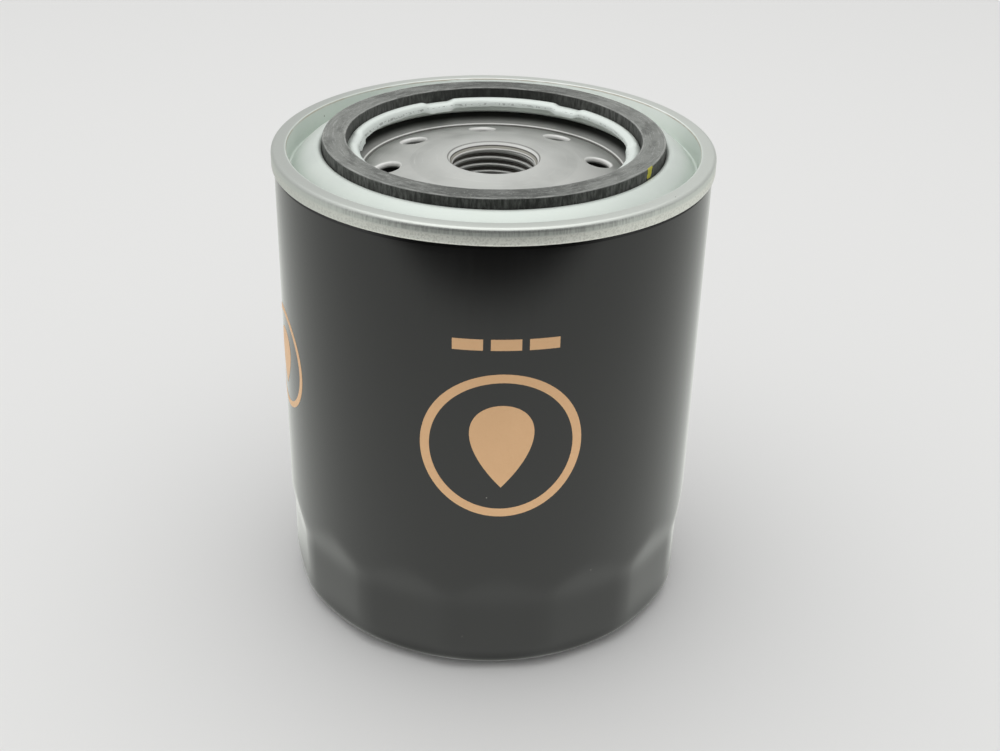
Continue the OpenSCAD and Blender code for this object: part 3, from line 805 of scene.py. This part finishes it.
def lid_wear(i, r, z, angle):
    """Flattens the lip at its crimps, and leaves its raw edge and the seam's inner edge a little ragged."""
    fold = math.hypot(r - SEAM_IN_R, z - SEAM_TOP)
    if fold < RAGGED_W:
        r += (1 - fold / RAGGED_W) * ripple(angle, (7, 0.03), (23, 0.02), (61, 0.018), (113, 0.012))
    base = GROOVE_FLOOR + 0.6
    if r > GROOVE_INNER_R + 0.05 or z < base:
        return r, z
    pressed = lip_crimp(angle)
    if r > LIP_CREST_R:
        pressed *= soft_step(base, SHOULDER_Z, z)
    else:
        raw = soft_step(LIP_CREST_R - 0.9, LIP_CREST_R - LIP_R, r)
        z += raw * (LIP_TILT * math.cos(angle) + ripple(angle, (17, 0.03), (43, 0.035), (97, 0.03)))
    return r + pressed * CRIMP_SPREAD * (r - LIP_CREST_R), z - pressed * CRIMP_DROP


def lid_path(fold_round, groove_round, side_low):
    """The lid's sheet from its lip to low on the seam's side, with the radii of two of its folds."""
    shoulder_end = Vector((GROOVE_OUTER_R + 1.4, SHOULDER_Z - 0.12))
    channel_in = Vector((CHANNEL_OUTER_R - CHANNEL_W, CHANNEL_Z))
    pull = shoulder_end + (channel_in.x - shoulder_end.x) * 0.6 * Vector((1, -0.45))
    slope = bend(shoulder_end, pull, channel_in, 14)
    path = arc((LIP_CREST_R, SHOULDER_Z - LIP_R), LIP_R, 90 + LIP_TURN, 90, 14)
    path.insert(0, path[0] + (path[0] - path[1]).normalized() * LIP_DROP)
    path += arc((LIP_CREST_R, SHOULDER_Z - LIP_FOLD_R), LIP_FOLD_R, 80, 0, 8)
    path += rounded([
        (GROOVE_INNER_R, GROOVE_FLOOR + 1, 0),
        (GROOVE_INNER_R, GROOVE_FLOOR, groove_round),
        (GROOVE_OUTER_R, GROOVE_FLOOR, groove_round),
        (GROOVE_OUTER_R, SHOULDER_Z, SHOULDER_R),
        (*shoulder_end, 0),
    ], steps=6)
    path += slope[1:-1]
    path += rounded([
        (*slope[-2], 0),
        (*channel_in, 0.25),
        (CHANNEL_OUTER_R, CHANNEL_Z, 0.25),
        (SEAM_IN_R, SEAM_TOP, fold_round),
        (SEAM_R, SEAM_TOP, SEAM_ROUND),
        (SEAM_R, side_low, 0),
    ], steps=8)[1:]
    return path


def make_lid():
    edge = 0.45
    path = spaced(lid_path(fold_round=0.3, groove_round=0.3, side_low=SEAM_LOW + edge), 1.2)
    path += arc((SEAM_R - edge, SEAM_LOW + edge), edge, -15, -90, 5)
    # The inner face's seam fold is round enough not to cross itself when it is moved in
    inside = beside(lid_path(fold_round=LID_T + 0.05, groove_round=0.02, side_low=SEAM_LOW), -LID_T)
    points, faces = lathe(path + inside[::-1], segments=600, warp=lid_wear)
    piece = mesh_piece("lid_and_seam", points, faces, ZINC, "housing")
    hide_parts("seaming_lid")


# Gasket

def gasket_wave(r, z, angle):
    """Slight waves of a cut rubber ring."""
    wave = 0.05 * math.sin(3 * angle + 0.7) + 0.03 * math.sin(11 * angle + 2.1)
    return r + wave * 0.6, z - max(0.0, wave) * 0.5 * soft_step(GROOVE_FLOOR, GASKET_TOP, z)


def make_gasket():
    inner = GASKET_R - GASKET_WIDTH
    outer = GASKET_SIDE_R
    edge = GASKET_EDGE
    outline = rounded([
        (inner, GROOVE_FLOOR + 1, 0),
        (inner, GASKET_TOP, edge),
        (outer, GASKET_TOP, edge),
        (outer, GROOVE_FLOOR, edge),
        (inner, GROOVE_FLOOR, edge),
        (inner, GROOVE_FLOOR + 1, 0),
    ])
    outline = spaced(outline, 0.8)[:-1]
    points, faces = lathe(outline, segments=288, warp=lambda i, r, z, angle: gasket_wave(r, z, angle))
    piece = mesh_piece("gasket_ring", points, faces, GASKET_RUBBER, "housing")
    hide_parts("sealing_gasket")


# Tapping plate

def crown(r, sphere=CROWN_R):
    """Height of the plate's crown at a radius."""
    return CROWN_Z + math.sqrt(sphere ** 2 - r ** 2)


def thread_radius(z, angle):
    """Radius of a right-hand 60 degree thread at a height and angle."""
    phase = ((z - THREAD_LIFT) / PITCH - angle / (2 * math.pi)) % 1.0 * PITCH
    run = (MAJOR_R - MINOR_R) * math.tan(math.radians(30))
    flat = PITCH / 8
    share = (abs(phase - PITCH / 2) - flat / 2) / run
    return MAJOR_R - min(1, max(0, share)) * (MAJOR_R - MINOR_R)


def plate_outline():
    """The plate's outline from the bore's mouth over the top to the neck's end, and the bore's top."""
    mouth_z = crown(MOUTH_R)
    under = CROWN_R - PLATE_T
    rings = [MOUTH_R + 1.2 * (i + 1) for i in range(16)]
    path = rounded([
        (MOUTH_R - MOUTH_CUT, mouth_z - MOUTH_CUT * MOUTH_SLOPE, 0),
        (MOUTH_R, mouth_z, 0.25),
        *[(r, crown(r), 0) for r in rings if r < DISH_R - 0.5],
        (DISH_R - 0.25, DISH_Z + 0.05, 0.1),
        (STEP_R, STEP_Z, 0.12),
        (DISH_R + DISH_RUN, FLANGE_TOP, 0.8),
        (PLATE_R, FLANGE_TOP, 0.3),
        (PLATE_R, FLANGE_TOP - PLATE_T, 0.3),
        (DISH_R + DISH_RUN + 1.2, FLANGE_TOP - PLATE_T, 0.8),
        (DISH_R + 0.8, DISH_Z - PLATE_T, 1.0),
        *[(r, crown(r, under), 0) for r in rings[::-1] if 14.5 < r < DISH_R - 2],
        (NECK_R, crown(NECK_R, under), 1.0),
        (NECK_R, NECK_END, 0.3),
        (MOUTH_R - 0.2, NECK_END, 0),
    ])
    return path, mouth_z - MOUTH_CUT * MOUTH_SLOPE


def plate_mesh():
    """The plate turned about Z, with a bore whose rows of points climb with the thread."""
    turn_steps, pitch_rows = 216, 14
    outline, bore_top = plate_outline()
    chamfer = MOUTH_R - MINOR_R
    rows = math.ceil((bore_top - NECK_END) / PITCH + 1) * pitch_rows
    count = len(outline) + rows
    points, faces = [], []
    for s in range(turn_steps):
        angle = 2 * math.pi * s / turn_steps
        ring = [tuple(p) for p in outline]
        for j in range(rows):
            z = NECK_END + (j / pitch_rows - 1 + s / turn_steps) * PITCH
            z = min(max(z, NECK_END), bore_top)
            depth = crown(MOUTH_R) - z
            lead_in = max(MINOR_R, MOUTH_R - depth / MOUTH_SLOPE)
            thread = max(thread_radius(z, angle), MINOR_R + NECK_END + chamfer - z)
            ring.append((thread + (lead_in - thread) * (1 - soft_step(*THREAD_START, depth)), z))
        points += [(r * math.cos(angle), r * math.sin(angle), z) for r, z in ring]
    for s in range(turn_steps):
        here, there = s * count, (s + 1) % turn_steps * count
        # Where the turn closes, each of the bore's rows meets the one a pitch above it
        climb = pitch_rows if s == turn_steps - 1 else 0
        for i in range(count):
            j = (i + 1) % count
            next_i, next_j = there + i, there + j
            if i >= len(outline):
                next_i = there + min(i + climb, count - 1)
            if j >= len(outline) and i >= len(outline) - 1:
                next_j = there + min(j + climb, count - 1)
            if i == len(outline) - 1:
                next_j = there + j
            faces.append((here + i, next_i, next_j, here + j))
    return points, faces


def inlet_cutter():
    """A hole's cutter along Z, with its top at z = 0 flared to round the hole's rim."""
    wide = INLET_R + INLET_ROUND
    low, high = -8, 3
    flare = arc((wide, -INLET_ROUND), INLET_ROUND, 180, 90, 8)
    return [Vector((0, low)), Vector((INLET_R, low)), *flare, Vector((wide, high)), Vector((0, high))]


def make_plate():
    points, faces = plate_mesh()
    piece = mesh_piece("thread_plate", points, faces, PLATE_STEEL, "housing")
    cut_points, cut_faces = lathe(inlet_cutter(), segments=48)
    cutters = []
    for n in range(INLET_COUNT):
        angle = FRONT + INLET_TURN + 2 * math.pi * n / INLET_COUNT
        lean = math.asin(INLET_CIRCLE_R / CROWN_R)
        spot = Vector((INLET_CIRCLE_R, 0, crown(INLET_CIRCLE_R) - 0.05))
        place = Matrix.Rotation(angle, 4, "Z") @ Matrix.Translation(spot) @ Matrix.Rotation(lean, 4, "Y")
        moved = [place @ Vector(p) for p in cut_points]
        cutters.append(mesh_piece(f"cutter_{n}", moved, cut_faces, PLATE_STEEL, "housing"))
    for cutter in cutters:
        step = piece.modifiers.new(cutter.name, "BOOLEAN")
        step.operation, step.solver, step.object = "DIFFERENCE", "EXACT", cutter
    graph = bpy.context.evaluated_depsgraph_get()
    holed = bpy.data.meshes.new_from_object(piece.evaluated_get(graph))
    piece.modifiers.clear()
    piece.data = holed
    shade(holed, sharp=30)
    for cutter in cutters:
        bpy.data.objects.remove(cutter)
    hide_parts("tapping_plate")


# Valve and springs

def make_valve():
    """The anti-drain valve: a sleeve on the neck that widens to a lip under the inlets."""
    top_z = VALVE_HIGH.z
    path = rounded([
        (VALVE_SLEEVE_R, VALVE_LOW.z, 0),
        (VALVE_SLEEVE_R, VALVE_LOW.z + VALVE_SLEEVE_L, 1.2),
        (VALVE_LIP_R - VALVE_LIP_W, top_z, 1.0),
        (VALVE_LIP_R, top_z, 0),
    ])
    path = spaced(path, 1.5)
    points, faces = lathe(path + beside(path, -VALVE_T)[::-1], segments=128)
    piece = mesh_piece("drain_valve", points, faces, VALVE_RUBBER, "housing")
    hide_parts("anti_drain_valve")
    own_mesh(piece)


def coil(coil_r, wire_r, low, high, turns):
    """Middle line of a spring whose ends lie level."""
    steps = round(turns * 40)
    level = LEVEL_TURNS / turns
    path = []
    for i in range(steps + 1):
        share = i / steps
        rise = min(1, max(0, (share - level) / (1 - 2 * level)))
        angle = 2 * math.pi * turns * share
        z = low + wire_r + (high - low - 2 * wire_r) * rise
        path.append(Vector((coil_r * math.cos(angle), coil_r * math.sin(angle), z)))
    return path


def make_springs():
    path = coil(BYPASS_COIL_R, BYPASS_WIRE_R, BYPASS_LOW.z, BYPASS_HIGH.z, BYPASS_TURNS)
    points, faces = tube(path, BYPASS_WIRE_R, sides=12)
    piece = mesh_piece("bypass_coil", points, faces, SPRING_STEEL, "element")
    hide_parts("bypass_spring")
    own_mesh(piece)

    path = coil(ELEMENT_COIL_R, ELEMENT_WIRE_R, SPRING_LOW.z, SPRING_HIGH.z, ELEMENT_TURNS)
    points, faces = tube(path, ELEMENT_WIRE_R, sides=14)
    piece = mesh_piece("element_coil", points, faces, SPRING_STEEL, "housing")
    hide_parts("element_spring")
    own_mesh(piece)


# Print and paint mark

def film(name, rows, joined, onto, material):
    """A thin film of ink or paint, from rows of (across, up) points. onto places (across, up, lift)."""
    points, faces = [], []
    count, across = len(rows), len(rows[0])
    for lift in (FILM, -FILM):
        for row in rows:
            points += [onto(u, v, lift) for u, v in row]
    under = count * across
    spans = across if joined else across - 1
    for i in range(count - 1):
        for j in range(spans):
            k = (j + 1) % across
            quad = (i * across + j, i * across + k, (i + 1) * across + k, (i + 1) * across + j)
            faces.append(quad)
            faces.append(tuple(under + q for q in quad[::-1]))
    for first in (0, (count - 1) * across):
        for j in range(spans):
            a, b = first + j, first + (j + 1) % across
            faces.append((a, b, under + b, under + a))
    if not joined:
        for j in (0, across - 1):
            for i in range(count - 1):
                a, b = i * across + j, (i + 1) * across + j
                faces.append((a, b, under + b, under + a))
    piece = mesh_piece(name, points, faces, material, "housing")


def on_can(turn, height):
    """Places on the can about a point of its side, the other way up, as the can is printed."""
    def onto(u, v, lift):
        a = FRONT + turn - u / CAN_R
        return (CAN_R + lift) * math.cos(a), (CAN_R + lift) * math.sin(a), height - v
    return onto


def on_gasket(turn):
    """Places on the gasket's outer side and over its top edge, with v from its top down."""
    def onto(u, v, lift):
        centre = (GASKET_SIDE_R - GASKET_EDGE, GASKET_TOP - GASKET_EDGE)
        lean = math.pi / 2 * min(1, max(0, v / GASKET_EDGE))
        r = centre[0] + (GASKET_EDGE + lift) * math.sin(lean)
        z = centre[1] + (GASKET_EDGE + lift) * math.cos(lean) - max(0, v - GASKET_EDGE)
        a = FRONT + turn + u / GASKET_R
        r, z = gasket_wave(r, z, a)
        return r * math.cos(a), r * math.sin(a), z
    return onto


def hoop(outer, inner, steps=96):
    """Rows of a flat ring."""
    turns = [math.radians(360 * i / steps) for i in range(steps)]
    return [[(radius * math.cos(a), radius * math.sin(a)) for a in turns] for radius in (inner, outer)]


def drop(height, width, steps=64):
    """Rows of a drop with its point up, from its middle out."""
    edge = []
    for i in range(steps):
        t = 2 * math.pi * i / steps
        edge.append((width * 0.65 * math.sin(t) * math.sin(t / 2), height / 2 * math.cos(t)))
    middle = (0, -height * 0.15)
    return [[(middle[0] + (u - middle[0]) * s, middle[1] + (v - middle[1]) * s) for u, v in edge]
            for s in (0.0, 0.4, 0.7, 1.0)]


def bar(left, right, low, high, steps=12):
    return [[(left + (right - left) * i / steps, v) for i in range(steps + 1)] for v in (low, high)]


def make_print():
    places = ("print", PRINT_CENTRE, PRINT_Z, 1.0), ("side_print", SIDE_PRINT, SIDE_PRINT_Z, SIDE_PRINT_SIZE)
    for name, turn, height, size in places:
        onto = on_can(turn, height)
        film(f"{name}_ring", hoop(*(r * size for r in PRINT_RING_R)), True, onto, INK)
        film(f"{name}_drop", drop(*(d * size for d in PRINT_DROP)), True, onto, INK)
    onto = on_can(PRINT_CENTRE, RULES_Z)
    for n, left in enumerate(RULE_LEFTS):
        rows = bar(left, left + RULE_L, -RULE_HALF_H, RULE_HALF_H)
        film(f"print_rule_{n}", rows, False, onto, INK)


def make_paint_mark():
    """A dab of yellow paint on the gasket's side."""
    rows = []
    down, across = 14, 8
    for i in range(down + 1):
        v = MARK_TOP + MARK_L * i / down
        half = MARK_HALF_W + 0.1 * math.sin(5 * v) - 0.15 * soft_step(1.2, 2.0, v)
        middle = -0.25 * v
        rows.append([(middle + half * (2 * j / across - 1), v) for j in range(across + 1)])
    film("paint_mark", rows, False, on_gasket(MARK_TURN), YELLOW)


# Inner pieces that keep their CAD shape

INSIDE_LOOKS = {
    "seam_compound": COMPOUND,
    "upper_end_cap": SHEET_STEEL,
    "upper_adhesive": ADHESIVE,
    "pleated_media": PAPER,
    "media_seam_clip": SHEET_STEEL,
    "centre_tube": SHEET_STEEL,
    "lower_adhesive": ADHESIVE,
    "lower_end_cap": SHEET_STEEL,
    "bypass_seal": VALVE_RUBBER,
    "bypass_disc": SHEET_STEEL,
    "bypass_cage": SHEET_STEEL,
    "spring_seat": SHEET_STEEL,
}


def dress_inside():
    """Gives the inner CAD nodes their materials."""
    for name, material in INSIDE_LOOKS.items():
        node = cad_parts[name]
        node.data.materials.clear()
        node.data.materials.append(material)


# Scene

def make_stage():
    """A wide pale floor. Reflections see it glowing white, as painted light, with a painted contact shadow
    round the can, a fade far off, and dark where the studio opens in front.
    """
    half = FLOOR_HALF
    mesh = bpy.data.meshes.new("floor")
    corners = [(-half, -half, 0), (half, -half, 0), (half, half, 0), (-half, half, 0)]
    mesh.from_pydata(corners, [], [(0, 1, 2, 3)])
    floor = bpy.data.objects.new("floor", mesh)
    bpy.context.scene.collection.objects.link(floor)
    look = Look("pale_floor", Roughness=0.6)
    radius = look.radius()
    ahead = look.times(look.math("SUBTRACT", radius, look.axis("Y")), 0.5)
    dark = look.times(look.levels(ahead, *OPENING_FLOOR), look.studio_opening())
    # Painted light: the floor glows in reflections only, and its glow is painted darker near the can as a
    # contact shadow
    lit = look.times(look.levels(radius, *FLOOR_FADE, 1.0, 0.7),
                     look.levels(radius, *FLOOR_CONTACT_SHADOW, 0.45, 1.0),
                     look.levels(dark, 0.0, 1.0, 1.0, OPENING_DARK))
    glossy = look.add("ShaderNodeLightPath", {}).outputs["Is Glossy Ray"]
    look.set(Base_Color=look.blend(glossy, (0.82, 0.82, 0.81), (0, 0, 0)))
    look.set(Emission_Color=(0.975, 1, 0.95), Emission_Strength=look.times(lit, glossy))
    mesh.materials.append(look.material)


def add_world():
    """Soft light that grows from the horizon up, with a pale background and a dark opening in reflections."""
    world = bpy.data.worlds.new("studio")
    bpy.context.scene.world = world
    sky = Nodes(world)
    sky.place = sky.add("ShaderNodeTexCoord", {}).outputs["Generated"]
    climb = sky.axis("Z")
    low, high = (math.sin(math.radians(a)) for a in OPENING_TOP[::-1])
    rays = sky.add("ShaderNodeLightPath", {})
    dark = sky.times(sky.studio_opening(), sky.levels(climb, low, high, 1.0, 0.0),
                     rays.outputs["Is Glossy Ray"])
    strength = sky.times(sky.levels(climb, 0.0, 1.0, HORIZON_LIGHT, ZENITH_LIGHT),
                         sky.levels(sky.axis("X"), -1.0, 1.0, LEFT_LIGHT, RIGHT_LIGHT),
                         sky.levels(dark, 0.0, 1.0, 1.0, OPENING_DARK))
    light = sky.add("ShaderNodeBackground", {"Strength": strength})
    shown = sky.add("ShaderNodeBackground", {"Color": (0.93, 0.93, 0.92)})
    to_camera = rays.outputs["Is Camera Ray"]
    mix = sky.add("ShaderNodeMixShader", {0: to_camera, 1: light.outputs[0], 2: shown.outputs[0]})
    sky.add("ShaderNodeOutputWorld", {"Surface": mix.outputs[0]})


def add_lamp(name, place, target, size, watts):
    """A square area lamp."""
    data = bpy.data.lights.new(name, "AREA")
    data.shape = "RECTANGLE"
    data.size, data.size_y, data.energy = size, size, watts
    lamp = bpy.data.objects.new(name, data)
    bpy.context.scene.collection.objects.link(lamp)
    lamp.location = place
    lamp.rotation_euler = (Vector(target) - Vector(place)).to_track_quat("-Z", "Y").to_euler()


def add_camera():
    data = bpy.data.cameras.new("photo_camera")
    data.sensor_fit, data.sensor_width, data.lens = "HORIZONTAL", 36, CAMERA_LENS
    camera = bpy.data.objects.new("photo_camera", data)
    bpy.context.scene.collection.objects.link(camera)
    back = Vector((0, -math.cos(CAMERA_ELEVATION), math.sin(CAMERA_ELEVATION)))
    level = Vector((1, 0, 0))
    upright = back.cross(level)
    c, s = math.cos(CAMERA_ROLL), math.sin(CAMERA_ROLL)
    right, up = c * level + s * upright, c * upright - s * level
    turn = Matrix((right, up, back)).transposed()
    camera.matrix_world = Matrix.Translation(Vector(CAMERA_PLACE) * MM) @ turn.to_4x4()
    bpy.context.scene.camera = camera


make_can()
make_lid()
make_gasket()
make_plate()
make_valve()
make_springs()
make_print()
make_paint_mark()
dress_inside()
make_stage()
add_world()
add_lamp("overhead", OVERHEAD_PLACE, OVERHEAD_AIM, OVERHEAD_SIZE, OVERHEAD_WATTS)
add_camera()
bpy.context.scene.view_settings.view_transform = "Standard"
